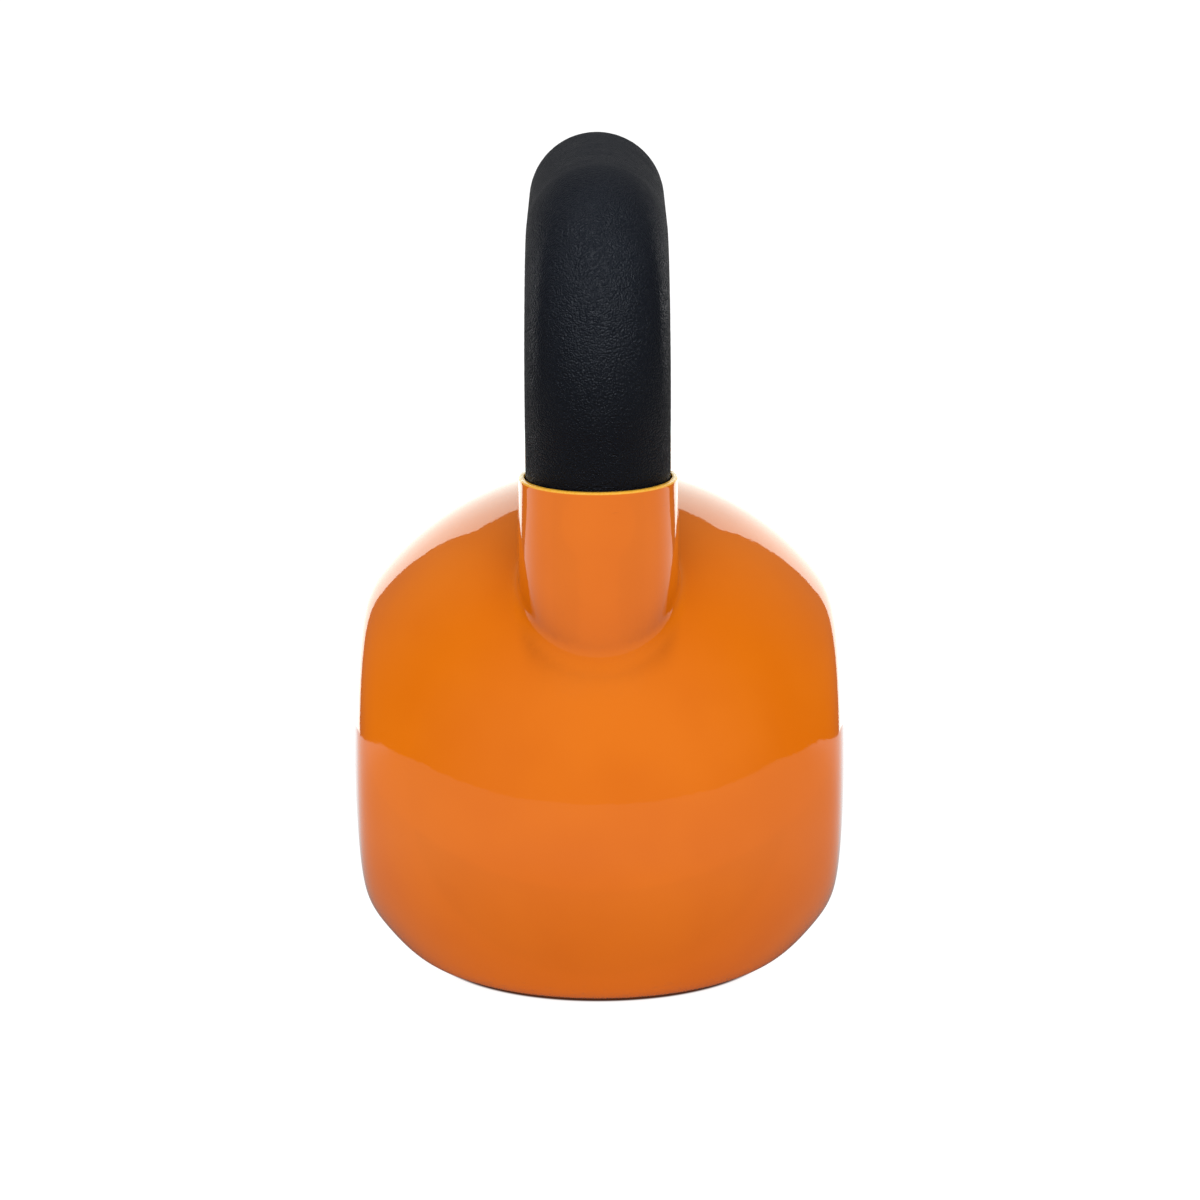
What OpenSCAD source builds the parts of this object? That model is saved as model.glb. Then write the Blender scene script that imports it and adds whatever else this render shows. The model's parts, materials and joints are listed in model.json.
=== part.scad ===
// Kettlebell: a one-piece iron casting with a textured handle coat and a dipped vinyl coat.
// Millimetres. X runs along the grip, Y from the back face to the front face, Z up.
// The origin is the centre of the flat base.

/* [Ball] */
// Radius of the dipped ball
ball_r = 69.5; // [67:0.5:70]
// Height of the ball's centre above the base
ball_z = 53.5; // [52:0.5:56]
// Distance from the ball's centre to the middle of its front and back faces
face_y = 60.5; // [58:0.5:62]
// Radius of the slight dome of the front and back faces
face_dome_r = 300; // [200:10:400]
// Rounding where a face runs into the ball
face_edge_r = 20; // [10:1:24]
// Rounding where the flat base runs into the ball
base_edge_r = 12; // [9:0.5:14]

/* [Handle] */
// Radius of the coated bar in its corners and horns
bar_r = 17; // [15:0.25:18]
// How much thinner in radius the straight grip is
grip_relief = 0.2; // [0.2:0.1:0.6]
// Height of the grip's axis
grip_z = 185.5; // [180:0.5:192]
// Half the length of the straight grip
grip_half = 28; // [25:0.5:34]
// Radius of the bar's axis at each corner
bend_r = 29; // [26:0.5:34]
// Outward lean of each horn from upright, in degrees
horn_lean = 15; // [8:0.5:18]
// Length of each straight horn, down to its root inside the ball
horn_length = 80; // [76:1:86]

/* [Coats] */
// Thickness of the dipped vinyl
vinyl_t = 2; // [1.5:0.25:3]
// Thickness of the textured coat on the handle
coat_t = 0.4; // [0.3:0.1:0.8]
// Height of the trimmed upper edge of the vinyl
rim_z = 132; // [130:0.5:138]
// Depth to which the handle coat runs under the vinyl
coat_overlap = 7; // [4:0.5:10]

/* [Hidden] */
$fn = 96;
// Segments in each arc of a ball cut's outline
arc_segments = 6;
// Angle by which a rounded edge stops short of the ball's own slope, so that the two cross cleanly
edge_break = 8;
// How far the grip runs into each corner
grip_overlap = 2;
// Size of a block that is larger than the whole object
beyond = 400;
iron_bar_r = bar_r - coat_t;
sleeve_r = bar_r + vinyl_t;

// Points on an arc, from angle a0 to angle a1
function arc(centre, r, a0, a1) =
    [for (i = [0:arc_segments])
        let (a = a0 + (a1 - a0) * i / arc_segments)
        centre + r * [cos(a), sin(a)]];

// Angle of the direction from one point to another
function heading(from, to) = atan2(to.y - from.y, to.x - from.x);

// Everything above a cut through the underside of a ball that is centred on the origin.
// The cut's middle is given as a list of points, and its rounded edge of radius edge_r
// has its centre at edge_centre and starts at the angle first.
module above_cut(middle, edge_centre, edge_r, first) {
    last = heading([0, 0], edge_centre) - edge_break;
    edge = arc(edge_centre, edge_r, first, last);
    run = beyond * [-sin(last), cos(last)];
    rotate_extrude()
        polygon(concat(middle, edge, [edge[arc_segments] + run, [0, beyond]]));
}

// Everything above a flat cut, at a distance below the centre of a ball of radius r
module above_flat(r, distance, edge_r) {
    z = edge_r - distance;
    x = sqrt(pow(r - edge_r, 2) - pow(z, 2));
    above_cut([[0, -distance]], [x, z], edge_r, -90);
}

// The same for a cut that is domed outwards to the radius dome_r
module above_dome(r, distance, edge_r, dome_r) {
    dome_centre = [0, dome_r - distance];
    z = (pow(r - edge_r, 2) - pow(dome_r - edge_r, 2) + pow(dome_centre.y, 2)) / (2 * dome_centre.y);
    x = sqrt(pow(r - edge_r, 2) - pow(z, 2));
    first = heading(dome_centre, [x, z]);
    dome = arc(dome_centre, dome_r, -90, first);
    above_cut([for (i = [0:arc_segments - 1]) dome[i]], [x, z], edge_r, first);
}

// The ball with its two faces and flat base, all moved inwards by inset
module ball(inset) {
    r = ball_r - inset;
    translate([0, 0, ball_z])
        intersection() {
            sphere(r = r);
            above_flat(r, ball_z - inset, base_edge_r - inset);
            intersection_for(side = [-1, 1])
                rotate([side * 90, 0, 0])
                    above_dome(r, face_y - inset, face_edge_r - inset, face_dome_r - inset);
        }
}

// One corner of the handle and the horn below it, at the end of the grip in +X
module corner_and_horn(r) {
    translate([grip_half, 0, grip_z - bend_r])
        rotate([90, 0, 0])
            rotate([0, 0, -horn_lean]) {
                rotate_extrude(angle = 90 + horn_lean)
                    translate([bend_r, 0])
                        circle(r = r);
                translate([bend_r, 0, 0])
                    rotate([90, 0, 0])
                        cylinder(h = horn_length, r = r);
            }
}

// The whole bent bar, with its horns' roots inside the ball
module bar(r) {
    translate([0, 0, grip_z])
        rotate([0, 90, 0])
            cylinder(h = 2 * (grip_half + grip_overlap), r = r - grip_relief, center = true);
    corner_and_horn(r);
    mirror([1, 0, 0])
        corner_and_horn(r);
}

// Everything above a height
module above(z) {
    translate([-beyond / 2, -beyond / 2, z])
        cube(beyond);
}

module casting_shape() {
    ball(vinyl_t);
    bar(iron_bar_r);
}

// The coated bar, from one end of its coat to the other
module coated_bar() {
    intersection() {
        bar(bar_r);
        above(rim_z - coat_overlap);
    }
}

module iron_casting() {
    color("dimgray")
        casting_shape();
}

module handle_coat() {
    color([0.11, 0.12, 0.13])
        difference() {
            coated_bar();
            bar(iron_bar_r);
        }
}

module vinyl_coat() {
    color([0.89, 0.45, 0.12])
        difference() {
            union() {
                ball(0);
                difference() {
                    bar(sleeve_r);
                    above(rim_z);
                }
            }
            casting_shape();
            coated_bar();
        }
}

iron_casting();
handle_coat();
vinyl_coat();
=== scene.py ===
# Looks of a dipped kettlebell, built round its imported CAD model.
# Metres. X runs along the grip, Y from the back face to the front face, Z up.
import json
import math

import bpy
import numpy as np
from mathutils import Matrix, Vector, noise

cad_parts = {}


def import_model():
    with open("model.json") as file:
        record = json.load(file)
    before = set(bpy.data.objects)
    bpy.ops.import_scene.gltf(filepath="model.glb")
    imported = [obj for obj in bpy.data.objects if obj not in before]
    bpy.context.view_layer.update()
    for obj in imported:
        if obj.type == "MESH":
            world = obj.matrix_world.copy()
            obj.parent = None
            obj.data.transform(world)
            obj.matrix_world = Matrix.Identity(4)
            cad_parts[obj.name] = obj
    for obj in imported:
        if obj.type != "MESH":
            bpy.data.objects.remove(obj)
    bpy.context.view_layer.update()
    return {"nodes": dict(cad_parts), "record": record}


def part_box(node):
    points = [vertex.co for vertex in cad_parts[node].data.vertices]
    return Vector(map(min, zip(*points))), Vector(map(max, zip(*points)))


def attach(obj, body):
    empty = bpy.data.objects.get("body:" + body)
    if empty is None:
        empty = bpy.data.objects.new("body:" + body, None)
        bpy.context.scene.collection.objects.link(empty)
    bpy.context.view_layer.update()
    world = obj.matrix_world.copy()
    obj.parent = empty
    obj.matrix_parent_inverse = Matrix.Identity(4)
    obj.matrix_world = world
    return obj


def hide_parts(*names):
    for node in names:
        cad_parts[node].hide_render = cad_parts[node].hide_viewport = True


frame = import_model()

MM = 0.001

# ---------------------------------------------------------------- sizes

# Taken from the frame
mounts = {mount["name"]: mount for mount in frame["record"]["mounts"]}
GRIP_Z = mounts["grip"]["pos_m"][2]
GRIP_R = mounts["grip"]["dims"]["r_mm"] * MM
GRIP_HALF = mounts["grip"]["dims"]["length_mm"] * MM / 2
BAR_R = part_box("handle_coat")[1].y
COAT_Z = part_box("handle_coat")[0].z
FACE_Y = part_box("vinyl_coat")[1].y
RIM_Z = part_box("vinyl_coat")[1].z

# Ball, as in the CAD model
BALL_R = 69.5 * MM
BALL_CENTRE = np.array([0, 0, 53.5 * MM])
FACE_DOME_R = 300 * MM

# Blends in place of the CAD model's rounded edges, about as deep
FACE_EDGE_BLEND = 4.0 * MM
BASE_EDGE_BLEND = 7.5 * MM

# Handle, as in the CAD model
BEND_R = 29 * MM
HORN_LEAN = math.radians(15)
HORN_ROOT_Z = 72 * MM

# Vinyl skin: it tightens from the sleeve's radius to the rim's over RIM_TAPER below the trimmed
# edge, and its opening stays RIM_GAP clear of the bar
SLEEVE_R = 19 * MM
RIM_R = 18.6 * MM
RIM_TAPER = 16 * MM
RIM_GAP = 0.25 * MM
LIP_R = 0.5 * MM
INNER_LIP_R = LIP_R / 3
LIP_SEGMENTS = 5
FILLET_R = 2.2 * MM
RIPPLE = 0.05 * MM
RIPPLE_LENGTHS = (18 * MM, 36 * MM)
RIPPLE_WAVES = 6

# The net that the skin is made from: its cells, the grid's extent a little beyond the skin, and the
# height where it gives way to rings round the horns
NET_STEP = 1.36 * MM
NET_HALF_X = 78 * MM
NET_HALF_Y = 66 * MM
NET_BOTTOM = -3 * MM
NET_TOP = RIM_Z - 5 * MM
OUTER_RIM_RINGS = 5
INNER_RIM_RINGS = 4

# Handle coat, a little thinner than in the CAD model so that it stays clear of the casting
COAT_T = 0.35 * MM
COAT_SEGMENTS = 200
COAT_STEP = 0.55 * MM
COAT_INNER_RINGS = 60
GRAIN_CELL = 1.0 * MM
GRAIN_DEPTH = 0.09 * MM

# Grain: its seed, which can't be 0 because 0 means the clock, and its parts of a cell or of a depth
GRAIN_SEED = 4
GRAIN_SWAY = 0.35
CREASE_WIDTH = 0.35
CREASE_DEPTH = 0.6


# ---------------------------------------------------------------- the handle's centre line

BEND_TURN = math.pi / 2 + HORN_LEAN
BEND_END = GRIP_HALF + BEND_R * BEND_TURN
BEND_CENTRE = np.array([GRIP_HALF, GRIP_Z - BEND_R])


def handle_axis(s):
    """Centre (x, z) and outward direction (x, z) of the bar at distances s from the grip's middle."""
    side, s = np.sign(s), np.abs(s)
    turn = np.clip((s - GRIP_HALF) / BEND_R, 0, BEND_TURN)
    outward = np.stack([np.sin(turn), np.cos(turn)], axis=1)
    along = np.stack([np.cos(turn), -np.sin(turn)], axis=1)
    straight = np.minimum(s - GRIP_HALF, 0) + np.maximum(s - BEND_END, 0)
    centre = BEND_CENTRE + BEND_R * outward + straight[:, None] * along
    for pair in (centre, outward):
        pair[:, 0] *= np.where(side < 0, -1, 1)
    return centre, outward


HORN_DIRECTION = np.array([math.sin(HORN_LEAN), 0, math.cos(HORN_LEAN)])
horn_top, _ = handle_axis(np.array([BEND_END]))
HORN_POINT = np.array([horn_top[0, 0], 0, horn_top[0, 1]])


def horn_x(z):
    """How far a horn's centre line is from the middle at height z."""
    return HORN_POINT[0] + (z - HORN_POINT[2]) * math.tan(HORN_LEAN)


# ---------------------------------------------------------------- the vinyl skin's shape

def smooth_step(t):
    """A soft rise from 0 to 1 as t goes from 0 to 1."""
    t = np.clip(t, 0, 1)
    return t * t * (3 - 2 * t)


def smooth_min(a, b, blend):
    """The smaller of two distances, rounded where they differ by less than blend."""
    h = np.maximum(blend - np.abs(a - b), 0) / blend
    return np.minimum(a, b) - h ** 3 * blend / 6


def smooth_max(a, b, blend):
    """The larger of two distances, rounded in the same way."""
    return -smooth_min(-a, -b, blend)


def filleted_min(a, b, radius):
    """The smaller of two distances, with a round fillet in the corner between their surfaces."""
    corner = np.hypot(np.maximum(radius - a, 0), np.maximum(radius - b, 0))
    return np.maximum(np.minimum(a, b), radius) - corner


def ball_distance(p):
    """Distance outside the ball with its two domed faces and flat base."""
    sphere = np.linalg.norm(p - BALL_CENTRE, axis=1) - BALL_R
    folded = np.stack([p[:, 0], np.abs(p[:, 1]), p[:, 2]], axis=1)
    dome_centre = BALL_CENTRE + [0, FACE_Y - FACE_DOME_R, 0]
    dome = np.linalg.norm(folded - dome_centre, axis=1) - FACE_DOME_R
    faced = smooth_max(sphere, dome, FACE_EDGE_BLEND)
    return smooth_max(faced, -p[:, 2], BASE_EDGE_BLEND)


def sleeve_radius(z):
    """Outer radius of the skin round a horn, a little tighter at the trimmed rim."""
    return SLEEVE_R - (SLEEVE_R - RIM_R) * smooth_step((z - RIM_Z + RIM_TAPER) / RIM_TAPER)


def horn_distance(p):
    """Distance outside the sleeve round the nearer horn."""
    folded = np.stack([np.abs(p[:, 0]), p[:, 1], p[:, 2]], axis=1) - HORN_POINT
    off_axis = folded - np.outer(folded @ HORN_DIRECTION, HORN_DIRECTION)
    sleeve = np.linalg.norm(off_axis, axis=1) - sleeve_radius(p[:, 2])
    return np.maximum(sleeve, HORN_ROOT_Z - p[:, 2])


def ripple(p):
    """Slow unevenness of the dipped skin, from 0 to RIPPLE, that dies out towards the rims."""
    random = np.random.default_rng(4)
    total = np.zeros(len(p))
    for _ in range(RIPPLE_WAVES):
        direction = random.normal(size=3)
        direction *= 2 * math.pi / random.uniform(*RIPPLE_LENGTHS) / np.linalg.norm(direction)
        total += np.sin(p @ direction + random.uniform(0, 2 * math.pi))
    return RIPPLE * (0.5 + total / RIPPLE_WAVES / 2) * smooth_step((NET_TOP - p[:, 2]) / RIM_TAPER)


def skin_distance(p):
    """Distance outside the whole dipped skin."""
    return filleted_min(ball_distance(p), horn_distance(p), FILLET_R) + ripple(p)


# ---------------------------------------------------------------- from a distance to a mesh

def gradient(distance, p):
    """The slope of a distance at each point."""
    step = 0.02 * MM
    slopes = [distance(p + move) - distance(p - move) for move in step * np.eye(3)]
    return np.stack(slopes, axis=1) / (2 * step)


def on_surface(distance, p, rounds=3):
    """The points moved onto the surface where the distance is 0."""
    for _ in range(rounds):
        slope = gradient(distance, p)
        p = p - slope * (distance(p) / (slope ** 2).sum(axis=1))[:, None]
    return p


def surface_net(distance, low, high, step):
    """Quads over the surface where the distance is 0, with a vertex in each grid cell that it crosses.
    The net is left open where the surface leaves the grid."""
    axes = [np.arange(a, b + step, step) for a, b in zip(low, high)]
    grid = np.stack(np.meshgrid(*axes, indexing="ij"), axis=-1)
    inside = distance(grid.reshape(-1, 3)).reshape(grid.shape[:3]) < 0
    corners_in = sum(
        inside[x:x - 1 or None, y:y - 1 or None, z:z - 1 or None].astype(int)
        for x in (0, 1) for y in (0, 1) for z in (0, 1)
    )
    crossed = (corners_in > 0) & (corners_in < 8)
    index = np.full(crossed.shape, -1)
    index[crossed] = np.arange(crossed.sum())
    points = grid[:-1, :-1, :-1][crossed] + step / 2
    quads = []
    for axis in range(3):
        order = [axis, (axis + 1) % 3, (axis + 2) % 3]
        solid = inside.transpose(order)[:, 1:-1, 1:-1]
        cells = index.transpose(order)
        round_edge = np.stack(
            [cells[:, :-1, :-1], cells[:, 1:, :-1], cells[:, 1:, 1:], cells[:, :-1, 1:]], axis=-1
        )
        quads.append(round_edge[solid[:-1] & ~solid[1:]])
        quads.append(round_edge[~solid[:-1] & solid[1:]][:, ::-1])
    return points, np.concatenate(quads)


def open_loops(quads):
    """The net's open edges as closed loops of vertices, in the winding of the quads beside them."""
    starts, ends = quads.ravel(), np.roll(quads, -1, axis=1).ravel()
    directed = set(zip(starts.tolist(), ends.tolist()))
    following = {a: b for a, b in directed if (b, a) not in directed}
    loops = []
    while following:
        start, vertex = following.popitem()
        loop = [start]
        while vertex != start:
            loop.append(vertex)
            vertex = following.pop(vertex)
        loops.append(np.array(loop))
    return loops


def relaxed(distance, points, quads, pinned, rounds=12):
    """The net with its vertices evened out over the surface, apart from the pinned ones."""
    starts, ends = quads.ravel(), np.roll(quads, -1, axis=1).ravel()
    free = np.ones(len(points), bool)
    free[pinned] = False
    count = np.bincount(starts, minlength=len(points)) + np.bincount(ends, minlength=len(points))
    for _ in range(rounds):
        mean = np.empty_like(points)
        for axis in range(3):
            total = np.bincount(starts, points[ends, axis], len(points))
            total += np.bincount(ends, points[starts, axis], len(points))
            mean[:, axis] = total / count
        points = np.where(free[:, None], on_surface(distance, mean, rounds=1), points)
    points[free] = on_surface(distance, points[free])
    return points


def make_piece(name, points, faces, materials, face_materials=None):
    """A smooth-shaded mesh piece that rides on the kettlebell's one body."""
    mesh = bpy.data.meshes.new(name)
    mesh.from_pydata(points.tolist(), [], [list(face) for face in faces])
    for material in materials:
        mesh.materials.append(material)
    if face_materials is not None:
        mesh.polygons.foreach_set("material_index", face_materials)
    mesh.shade_smooth()
    mesh.validate()
    piece = bpy.data.objects.new(name, mesh)
    bpy.context.scene.collection.objects.link(piece)
    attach(piece, "root")
    return piece


# ---------------------------------------------------------------- the vinyl skin

def ring_round_horn(angles, side, z, r):
    """Points at one height round a horn, at a distance r from its leaning centre line."""
    x = side * (horn_x(z) + r * np.cos(angles) / math.cos(HORN_LEAN))
    return np.stack([x, r * np.sin(angles), np.full(len(angles), z)], axis=1)


def quarter_round(centre_z, centre_r, radius, first):
    """Heights and radii along a quarter circle, from the angle first and turning left."""
    angles = first + np.linspace(0, math.pi / 2, LIP_SEGMENTS)
    return [(centre_z + radius * math.sin(a), centre_r + radius * math.cos(a)) for a in angles]


def rim_profile():
    """Heights and radii up the outside of the skin, over its cut edge and down against the bar,
    and which stretches between them are the cut edge."""
    inner_r = BAR_R + RIM_GAP
    outer_heights = np.linspace(NET_TOP, RIM_Z - LIP_R, OUTER_RIM_RINGS + 2)[1:-1]
    outside = [(z, sleeve_radius(z)) for z in outer_heights]
    lip = quarter_round(RIM_Z - LIP_R, RIM_R - LIP_R, LIP_R, 0)
    lip += quarter_round(RIM_Z - INNER_LIP_R, inner_r + INNER_LIP_R, INNER_LIP_R, math.pi / 2)
    inner_heights = np.linspace(RIM_Z - INNER_LIP_R, NET_TOP, INNER_RIM_RINGS + 1)[1:]
    inside = [(z, inner_r) for z in inner_heights]
    cut = [False] * (len(outside) + 1) + [True] * (len(lip) - 1) + [False] * (len(inside) + 1)
    return outside + lip + inside, cut


def skin_net():
    """Points and quads of the skin's outside below NET_TOP, and for each horn the open loop of its
    vertices there, its side and the loop's angles."""
    high = (NET_HALF_X, NET_HALF_Y, NET_TOP)
    low = (-NET_HALF_X, -NET_HALF_Y, NET_BOTTOM)
    points, quads = surface_net(skin_distance, low, high, NET_STEP)
    points = on_surface(skin_distance, points, rounds=6)
    openings = []
    for loop in open_loops(quads):
        side = np.sign(points[loop, 0].mean())
        x = side * points[loop, 0] - horn_x(NET_TOP)
        found = np.unwrap(np.arctan2(points[loop, 1], x))
        turn = np.sign(found[-1] - found[0]) * 2 * math.pi
        angles = found[0] + turn * np.arange(len(loop)) / len(loop)
        points[loop] = ring_round_horn(angles, side, NET_TOP, sleeve_radius(NET_TOP))
        openings.append((loop, side, angles))
    pinned = np.concatenate([loop for loop, _, _ in openings])
    return relaxed(skin_distance, points, quads, pinned), quads, openings


def vinyl_skin(materials):
    """The dipped skin as a closed shell: its outside, its inside, and rings over each trimmed rim."""
    points, quads, openings = skin_net()
    normals = gradient(skin_distance, points)
    normals /= np.linalg.norm(normals, axis=1)[:, None]
    thickness = sleeve_radius(points[:, 2]) - BAR_R - RIM_GAP
    inner_points = points - normals * thickness[:, None]

    all_points = [points, inner_points]
    faces = [quads, quads[:, ::-1] + len(points)]
    profile, cut = rim_profile()
    face_materials = [np.zeros(2 * len(quads), int)]
    used = 2 * len(points)
    for loop, side, angles in openings:
        below = loop
        for (z, r), is_cut in zip(profile, cut):
            ring = used + np.arange(len(loop))
            used += len(loop)
            all_points.append(ring_round_horn(angles, side, z, r))
            faces.append(band(below, ring))
            face_materials.append(np.full(len(loop), int(is_cut)))
            below = ring
        faces.append(band(below, loop + len(points)))
        face_materials.append(np.zeros(len(loop), int))
    skin = make_piece(
        "vinyl_skin",
        np.concatenate(all_points),
        np.concatenate(faces),
        materials,
        np.concatenate(face_materials),
    )
    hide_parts("vinyl_coat")
    return skin


def band(below, above):
    """Quads between two rings of vertices, wound to meet the net beside the first ring."""
    return np.stack([np.roll(below, -1), below, above, np.roll(above, -1)], axis=1)


# ---------------------------------------------------------------- the handle coat

def grain(p):
    """Depth of the leather-like wrinkles at a point, from 0 to 1: creases between cells with swaying
    outlines, and finer swells all over."""
    sway = noise.noise_vector(p / (2.2 * GRAIN_CELL)) * GRAIN_SWAY
    distances, _ = noise.voronoi(p / GRAIN_CELL + sway)
    crease = 1 - min((distances[1] - distances[0]) / CREASE_WIDTH, 1)
    swell = 0.5 + 0.5 * noise.noise(p / (0.6 * GRAIN_CELL))
    return CREASE_DEPTH * crease * crease + (1 - CREASE_DEPTH) * swell


def coat_rings(s, depths, angles):
    """Points of rings round the bar at distances s along it, sunk by the given depths."""
    centre, outward = handle_axis(s)
    on_grip = smooth_step((BEND_END - np.abs(s)) / (BEND_END - GRIP_HALF))
    r = (BAR_R - (BAR_R - GRIP_R) * on_grip)[:, None] - depths
    x = centre[:, :1] + r * np.cos(angles) * outward[:, :1]
    z = centre[:, 1:] + r * np.cos(angles) * outward[:, 1:]
    return np.stack([x, r * np.sin(angles), z], axis=-1)


def grid_quads(index):
    """Quads of a grid of vertices that closes on itself round its second axis."""
    shifted = np.roll(index, -1, axis=1)
    return np.stack([index[:-1], index[1:], shifted[1:], shifted[:-1]], axis=-1).reshape(-1, 4)


def handle_coat(material):
    """The textured coat as a closed tube: wrinkled outside, plain inside."""
    end_z = COAT_Z - BAR_R * math.sin(HORN_LEAN)
    half = BEND_END + (HORN_POINT[2] - end_z) / math.cos(HORN_LEAN)
    angles = np.linspace(0, 2 * math.pi, COAT_SEGMENTS, endpoint=False)
    s = np.linspace(-half, half, 2 * round(half / COAT_STEP) + 1)
    plain = coat_rings(s, 0, angles)
    noise.seed_set(GRAIN_SEED)
    depths = [[grain(Vector(p)) * GRAIN_DEPTH for p in ring] for ring in plain]
    outer = coat_rings(s, np.array(depths), angles)
    inner_s = np.linspace(-half, half, COAT_INNER_RINGS)
    inner = coat_rings(inner_s, COAT_T, angles)

    outer_index = np.arange(outer[..., 0].size).reshape(outer.shape[:2])
    inner_index = outer_index.size + np.arange(inner[..., 0].size).reshape(inner.shape[:2])
    start = np.stack([inner_index[0], outer_index[0]])
    end = np.stack([outer_index[-1], inner_index[-1]])
    faces = [grid_quads(index) for index in (outer_index, inner_index[::-1], start, end)]
    points = np.concatenate([outer.reshape(-1, 3), inner.reshape(-1, 3)])
    coat = make_piece("textured_handle_coat", points, np.concatenate(faces), [material])
    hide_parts("handle_coat")
    return coat


# ---------------------------------------------------------------- materials

class NodeMaker:
    """Short calls that add nodes to the node tree of a material or a world."""

    def __init__(self, owner):
        owner.use_nodes = True
        self.nodes = owner.node_tree.nodes
        self.links = owner.node_tree.links

    def fill(self, target, value):
        """Gives an input socket a number, a colour, a direction or another node's output."""
        if isinstance(value, bpy.types.NodeSocket):
            self.links.new(value, target)
        elif hasattr(value, "__len__") and len(value) < len(target.default_value):
            target.default_value = (*value, 1)
        else:
            target.default_value = value

    def rays(self):
        """Outputs that tell which kind of ray is seeing the surface or the sky."""
        return self.nodes.new("ShaderNodeLightPath").outputs

    def ramp(self, value, low, high, to_low=0.0, to_high=1.0):
        """The value carried from the range low..high to the range to_low..to_high."""
        node = self.nodes.new("ShaderNodeMapRange")
        node.interpolation_type = "SMOOTHSTEP"
        for name, number in (("From Min", low), ("From Max", high), ("To Min", to_low), ("To Max", to_high)):
            node.inputs[name].default_value = number
        self.links.new(value, node.inputs["Value"])
        return node.outputs["Result"]

    def math(self, operation, a, b=0.0):
        """A sum, a product or the like of two values, or an operation on the first one alone."""
        node = self.nodes.new("ShaderNodeMath")
        node.operation = operation
        self.fill(node.inputs[0], a)
        self.fill(node.inputs[1], b)
        return node.outputs[0]


class Shader(NodeMaker):
    """A node material with one Principled shader, and calls for its patterns and bumps."""

    def __init__(self, name, **sockets):
        self.material = bpy.data.materials.new(name)
        super().__init__(self.material)
        self.principled = self.nodes["Principled BSDF"]
        self.place = self.nodes.new("ShaderNodeTexCoord").outputs["Object"]
        for socket, value in sockets.items():
            self.set(socket, value)

    def set(self, socket, value):
        """Sets one of the shader's inputs to a number, a colour or another node's output."""
        target = self.principled.inputs[socket.replace("_", " ").title().replace("Ior", "IOR")]
        self.fill(target, value)

    def noise(self, feature, detail=3, roughness=0.5, stretch=(1, 1, 1)):
        """Noise from 0 to 1 with features of the given size in metres."""
        mapping = self.nodes.new("ShaderNodeMapping")
        mapping.inputs["Scale"].default_value = stretch
        self.links.new(self.place, mapping.inputs["Vector"])
        node = self.nodes.new("ShaderNodeTexNoise")
        node.inputs["Scale"].default_value = 1 / feature
        node.inputs["Detail"].default_value = detail
        node.inputs["Roughness"].default_value = roughness
        self.links.new(mapping.outputs["Vector"], node.inputs["Vector"])
        return node.outputs["Fac"]

    def cells(self, feature):
        """Rounded pebbles of the given size in metres, from 0 in the creases between them."""
        node = self.nodes.new("ShaderNodeTexVoronoi")
        node.feature = "SMOOTH_F1"
        node.inputs["Scale"].default_value = 1 / feature
        node.inputs["Smoothness"].default_value = 0.4
        self.links.new(self.place, node.inputs["Vector"])
        return self.math("SUBTRACT", 1.0, node.outputs["Distance"])

    def coordinate(self, axis):
        """A place along X, Y or Z, in metres."""
        node = self.nodes.new("ShaderNodeSeparateXYZ")
        self.links.new(self.place, node.inputs[0])
        return node.outputs[axis]

    def distance(self):
        """The distance from the centre of the object's base, in metres."""
        node = self.nodes.new("ShaderNodeVectorMath")
        node.operation = "LENGTH"
        self.links.new(self.place, node.inputs[0])
        return node.outputs["Value"]

    def openness(self, reach, samples=32):
        """1 on open surfaces, and less in corners narrower than the reach in metres."""
        node = self.nodes.new("ShaderNodeAmbientOcclusion")
        node.only_local = True
        node.samples = samples
        node.inputs["Distance"].default_value = reach
        return node.outputs["AO"]

    def mix(self, factor, first, second):
        """A colour between first and second."""
        node = self.nodes.new("ShaderNodeMix")
        node.data_type = "RGBA"
        for name, value in (("Factor_Float", factor), ("A_Color", first), ("B_Color", second)):
            target = next(socket for socket in node.inputs if socket.identifier == name)
            self.fill(target, value)
        return next(socket for socket in node.outputs if socket.identifier == "Result_Color")

    def bump(self, height, distance, strength=1.0, after=None):
        """Bump of the given distance in metres, on top of another bump."""
        node = self.nodes.new("ShaderNodeBump")
        node.inputs["Distance"].default_value = distance
        node.inputs["Strength"].default_value = strength
        self.links.new(height, node.inputs["Height"])
        if after:
            self.links.new(after, node.inputs["Normal"])
        return node.outputs["Normal"]


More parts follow.
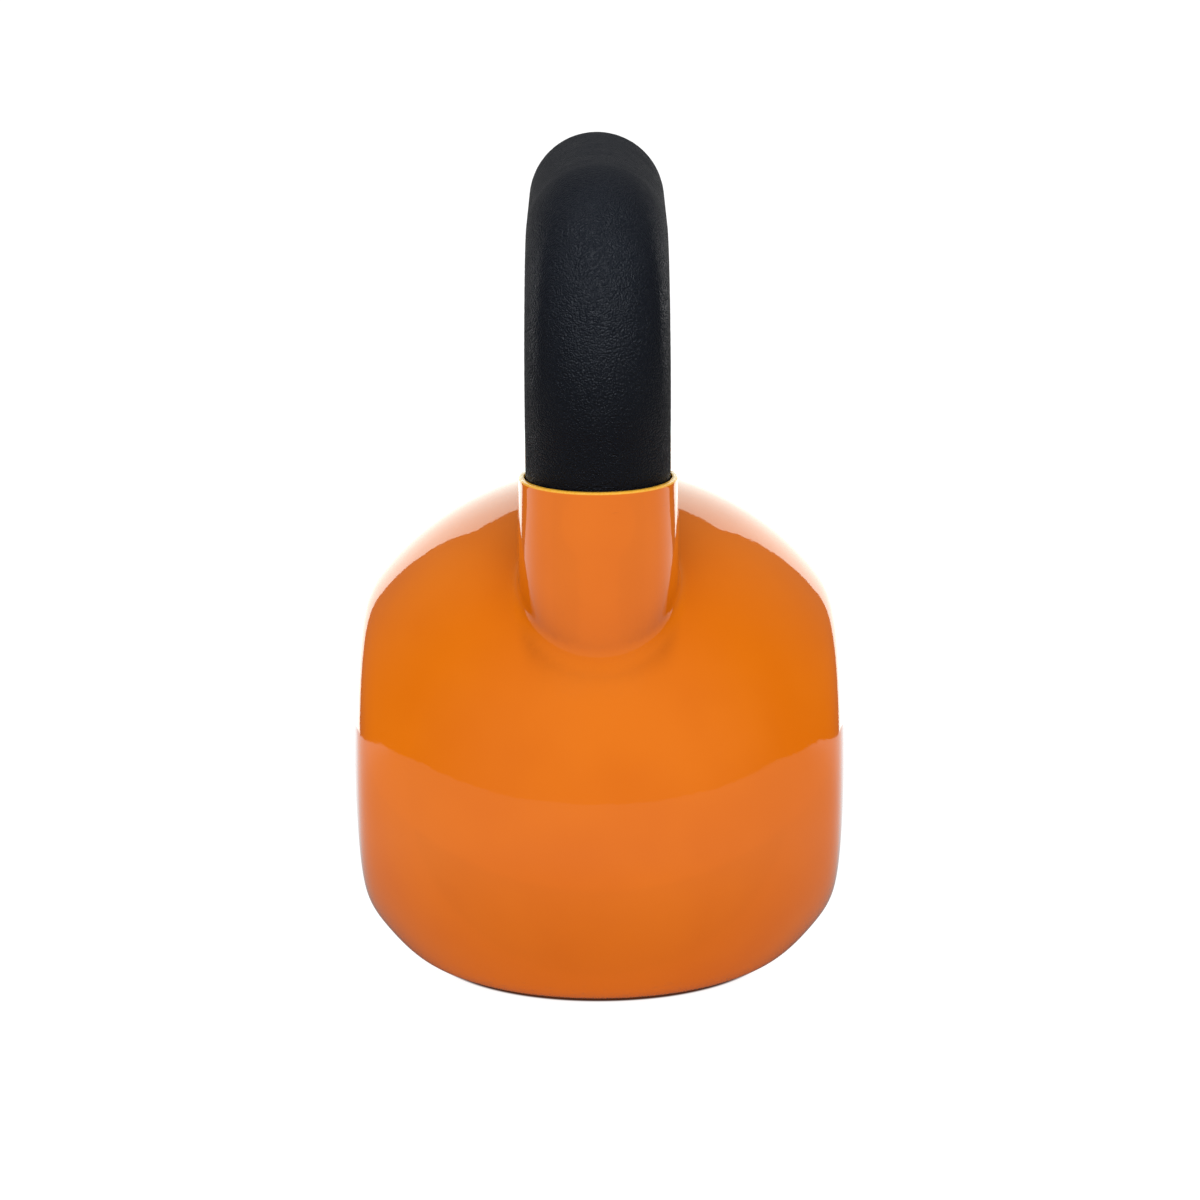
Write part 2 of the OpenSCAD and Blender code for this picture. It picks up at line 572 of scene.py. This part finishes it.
def vinyl_material():
    """Glossy dipped vinyl: slight mottling, orange-peel micro waves, scuffs near the base edge, and
    painted shade, a darker colour in the corners in front of and behind each horn where it meets the ball."""
    shader = Shader("dipped_vinyl", ior=1.5)
    mottle = shader.ramp(shader.noise(30 * MM, detail=2), 0.3, 0.7)
    near_base = shader.ramp(shader.coordinate("Z"), 1 * MM, 9 * MM, 1, 0)
    scratches = shader.ramp(shader.noise(2.5 * MM, detail=6, roughness=0.7, stretch=(1, 1, 3)), 0.55, 0.68)
    scuffs = shader.math("MULTIPLY", near_base, scratches)
    clean = shader.mix(mottle, (0.80, 0.180, 0.0035), (0.84, 0.198, 0.0045))
    # painted shade: the colour darkens where the skin is hemmed in by its own shape, in the corners where
    # the horns meet the ball
    corners = shader.ramp(shader.openness(22 * MM), 0.8, 0.99, 1, 0)
    from_middle = shader.math("ABSOLUTE", shader.coordinate("Y"))
    in_line = shader.ramp(from_middle, SLEEVE_R - 4 * MM, SLEEVE_R + 1 * MM, 1, 0.1)
    painted_corner_shade = shader.math("MULTIPLY", corners, in_line)
    skin_colour = shader.mix(painted_corner_shade, clean, (0.42, 0.085, 0.003))
    shader.set("base_color", shader.mix(scuffs, skin_colour, (0.62, 0.17, 0.03)))
    smear = shader.ramp(shader.noise(14 * MM, detail=5, roughness=0.6), 0.35, 0.7, 0.035, 0.065)
    shader.set("roughness", shader.math("ADD", smear, shader.math("MULTIPLY", scuffs, 0.25)))
    peel = shader.bump(shader.noise(4 * MM, detail=2), 0.02 * MM)
    shader.set("normal", shader.bump(shader.noise(0.9 * MM, detail=2), 0.003 * MM, after=peel))
    return shader.material


def cut_edge_and_highlight_material():
    """The knife-trimmed edge of the vinyl, paler than the skin: partly the cut vinyl's own paler colour,
    partly a painted highlight along the lip.
    """
    shader = Shader("trimmed_vinyl_edge_and_painted_highlight", ior=1.5)
    streaks = shader.noise(0.8 * MM, detail=4)
    # painted highlight: the pale yellow stands partly for light caught on the rounded lip
    shader.set("base_color", shader.mix(streaks, (0.97, 0.45, 0.025), (1.0, 0.56, 0.07)))
    shader.set("roughness", shader.ramp(streaks, 0.3, 0.7, 0.2, 0.4))
    shader.set("normal", shader.bump(streaks, 0.03 * MM))
    return shader.material


def handle_material():
    """Near-black textured coat: pebbles and wrinkles as bump, and slow changes of tone and gloss."""
    shader = Shader("textured_coat", ior=1.5, specular_ior_level=0.08)
    blotches = shader.noise(9 * MM, detail=4)
    shader.set("base_color", shader.mix(blotches, (0.0028, 0.0034, 0.0050), (0.0036, 0.0044, 0.0064)))
    shader.set("roughness", shader.ramp(blotches, 0.3, 0.7, 0.30, 0.37))
    pebbles = shader.cells(0.45 * MM)
    wrinkles = shader.bump(shader.noise(0.7 * MM, detail=4, roughness=0.6), 0.2 * MM)
    shader.set("normal", shader.bump(pebbles, 0.3 * MM, after=wrinkles))
    return shader.material


def iron_material():
    """Grey sand-cast iron, hidden under the coats."""
    shader = Shader("cast_iron", metallic=0.7)
    sand = shader.noise(0.8 * MM, detail=6, roughness=0.65)
    rust = shader.ramp(shader.noise(12 * MM, detail=5), 0.55, 0.75)
    shader.set("base_color", shader.mix(rust, (0.11, 0.11, 0.115), (0.16, 0.10, 0.07)))
    shader.set("roughness", shader.ramp(sand, 0.3, 0.7, 0.55, 0.8))
    shader.set("normal", shader.bump(sand, 0.15 * MM))
    return shader.material


# ---------------------------------------------------------------- floor, light and camera

CAMERA_TARGET = Vector((0, 0.3 * MM, 90.1 * MM))
CAMERA_DISTANCE = 1.08
CAMERA_ELEVATION = math.radians(13.3)
CAMERA_ROLL = math.radians(-0.29)
CAMERA_LENS_MM = 131.0

# The table top: its extent, how bright it looks, and the painted contact shadow, a dark line where the base
# meets it
TABLE_X = (-0.22, 0.42)
TABLE_HALF_Y = 1.5
FLOOR_SEEN = 0.98
CONTACT_SHADOW = (41.5 * MM, 42.9 * MM)

# How bright mirror reflections see the table: by distance from the object, and from its back edge
# to the object's front
NEAR_DISTANCES = (30 * MM, 150 * MM)
NEAR_MIRRORED = 0.1
BACK_MIRRORED = 1.0
FRONT_MIRRORED = 0.42
FRONT_X = 50 * MM

# The light that the table throws back on the object
FLOOR_BOUNCE = 0.77
FLOOR_BOUNCE_COLOUR = (1.0, 0.78, 0.62)

# The white studio, and the dim room that mirror reflections see in its place
STUDIO_SEEN = 1.1
STUDIO_LIGHT = 1.02
STUDIO_TOP_LIGHT = 0.45
ROOM_LIGHT = 0.02
ROOM_FRONT_LIGHT = 0.25
ROOM_BACK_LIGHT = 0.18
ROOM_BACK = (-0.82, 0, 0.57)

# What the lamps face, and the colours of two of them
BALL_MIDDLE = (0, 0, 60 * MM)
HANDLE_MIDDLE = (0, 0, 160 * MM)
BACKDROP_COLOUR = (0.82, 1.0, 0.96)
HANDLE_KEY_COLOUR = (0.88, 0.94, 1.0)


def camera():
    """A long lens that looks along the grip from a little above."""
    back = Vector((math.cos(CAMERA_ELEVATION), 0, math.sin(CAMERA_ELEVATION)))
    data = bpy.data.cameras.new("camera")
    data.lens = CAMERA_LENS_MM
    eye = bpy.data.objects.new("camera", data)
    eye.location = CAMERA_TARGET + back * CAMERA_DISTANCE
    eye.rotation_euler = (-back).to_track_quat("-Z", "Y").to_euler()
    eye.rotation_euler.rotate_axis("Z", CAMERA_ROLL)
    bpy.context.scene.collection.objects.link(eye)
    bpy.context.scene.camera = eye


def floor():
    """A pale table top. Each kind of ray sees its own brightness: white for the camera apart from a
    painted contact shadow under the base, painted shade near the object in reflections, and a warm glow as a
    light."""
    mesh = bpy.data.meshes.new("floor")
    back, front = TABLE_X
    sides = (-TABLE_HALF_Y, TABLE_HALF_Y)
    mesh.from_pydata([(x, y, 0) for x in (back, front) for y in sides], [], [(0, 2, 3, 1)])
    plane = bpy.data.objects.new("floor", mesh)
    bpy.context.scene.collection.objects.link(plane)
    shader = Shader("pale_floor", base_color=(0.12, 0.12, 0.12), roughness=1.0, specular_ior_level=0.0)
    rays = shader.rays()
    # painted shade: reflections see the table darker near the object
    near = shader.ramp(shader.distance(), *NEAR_DISTANCES, NEAR_MIRRORED, 1)
    across = shader.ramp(shader.coordinate("X"), back, FRONT_X, BACK_MIRRORED, FRONT_MIRRORED)
    mirrored = shader.math("MULTIPLY", rays["Is Glossy Ray"], shader.math("MULTIPLY", near, across))
    bounced = shader.math("MULTIPLY", rays["Is Diffuse Ray"], FLOOR_BOUNCE)
    # painted contact shadow: the floor seen by the camera goes dark in a thin ring round the base
    white = shader.ramp(shader.distance(), *CONTACT_SHADOW, 0, FLOOR_SEEN)
    seen = shader.math("MULTIPLY", rays["Is Camera Ray"], white)
    shader.set("emission_strength", shader.math("ADD", seen, shader.math("ADD", mirrored, bounced)))
    shader.set("emission_color", shader.mix(rays["Is Diffuse Ray"], (1, 1, 1), FLOOR_BOUNCE_COLOUR))
    mesh.materials.append(shader.material)


class Sky(NodeMaker):
    """The nodes of a world, with calls that add lights and join them."""

    def __init__(self, name):
        self.world = bpy.data.worlds.new(name)
        super().__init__(self.world)
        self.direction = self.nodes.new("ShaderNodeTexCoord").outputs["Generated"]

    def facing(self, towards, low, high, to_low, to_high):
        """A strength that goes from to_low to to_high as a ray turns towards a direction."""
        dot = self.nodes.new("ShaderNodeVectorMath")
        dot.operation = "DOT_PRODUCT"
        self.fill(dot.inputs[0], self.direction)
        self.fill(dot.inputs[1], towards)
        return self.ramp(dot.outputs["Value"], low, high, to_low, to_high)

    def light(self, strength):
        """White light of a constant strength or of another node's output."""
        node = self.nodes.new("ShaderNodeBackground")
        self.fill(node.inputs["Color"], (1, 1, 1))
        self.fill(node.inputs["Strength"], strength)
        return node.outputs[0]

    def combine(self, kind, *inputs):
        """A node of the given kind, with its inputs in order."""
        node = self.nodes.new(kind)
        for target, value in zip(node.inputs, inputs):
            self.fill(target, value)
        return node.outputs[0]


def world():
    """A white studio that is darker overhead, in which mirror reflections see a dim room."""
    sky = Sky("studio")
    rays = sky.rays()
    studio = sky.light(sky.facing((0, 0, 1), 0.0, 1.0, STUDIO_LIGHT, STUDIO_TOP_LIGHT))
    room_front = sky.light(sky.facing((1, 0, 0), 0.0, 0.9, ROOM_LIGHT, ROOM_FRONT_LIGHT))
    room_back = sky.light(sky.facing(ROOM_BACK, 0.1, 1.0, 0.0, ROOM_BACK_LIGHT))
    room = sky.combine("ShaderNodeAddShader", room_front, room_back)
    lit = sky.combine("ShaderNodeMixShader", rays["Is Glossy Ray"], studio, room)
    seen = sky.combine("ShaderNodeMixShader", rays["Is Camera Ray"], lit, sky.light(STUDIO_SEEN))
    sky.links.new(seen, sky.nodes["World Output"].inputs["Surface"])
    bpy.context.scene.world = sky.world


def area_light(
    name, location, target, size, watts, receivers=(), colour=(1, 1, 1), diffuse=True, glossy=True
):
    """A soft light that faces the target, and that only the receivers feel if any are given. It can be
    left out of diffuse light or of reflections."""
    data = bpy.data.lights.new(name, "AREA")
    data.shape = "RECTANGLE"
    data.size, data.size_y = size
    data.energy = watts
    data.color = colour
    lamp = bpy.data.objects.new(name, data)
    lamp.location = location
    aim = Vector(target) - lamp.location
    lamp.rotation_euler = aim.to_track_quat("-Z", "Y").to_euler()
    lamp.visible_diffuse = diffuse
    lamp.visible_glossy = glossy
    lamp.visible_camera = False
    if receivers:
        flagged = bpy.data.collections.new(name + "_receivers")
        for piece in receivers:
            flagged.objects.link(piece)
        lamp.light_linking.receiver_collection = flagged
    bpy.context.scene.collection.objects.link(lamp)


def lights(skin, coat):
    """A fill from the front, the backdrop that the skin mirrors, and three lamps for the dark coat."""
    area_light("front_fill", (1.3, 0.0, 1.6), BALL_MIDDLE, size=(1.2, 1.2), watts=14, glossy=False)
    area_light(
        "backdrop", (-1.2, 0.0, 0.0), BALL_MIDDLE, size=(1.7, 2.5), watts=32,
        receivers=[skin], colour=BACKDROP_COLOUR, diffuse=False,
    )
    area_light(
        "handle_key", (0.95, 0.0, 1.6), HANDLE_MIDDLE, size=(0.3, 1.8), watts=78,
        receivers=[coat], colour=HANDLE_KEY_COLOUR,
    )
    for name, location, watts in (
        ("handle_left", (-1.6, -1.2, 0.1), 1.7),
        ("handle_right", (-1.75, 1.0, 0.1), 1.1),
    ):
        area_light(name, location, HANDLE_MIDDLE, size=(0.3, 0.3), watts=watts, receivers=[coat])


# ---------------------------------------------------------------- the scene

camera()
skin = vinyl_skin([vinyl_material(), cut_edge_and_highlight_material()])
coat = handle_coat(handle_material())
iron = frame["nodes"]["iron_casting"]
iron.data.materials.clear()
iron.data.materials.append(iron_material())
floor()
world()
lights(skin, coat)
bpy.context.scene.view_settings.view_transform = "Standard"
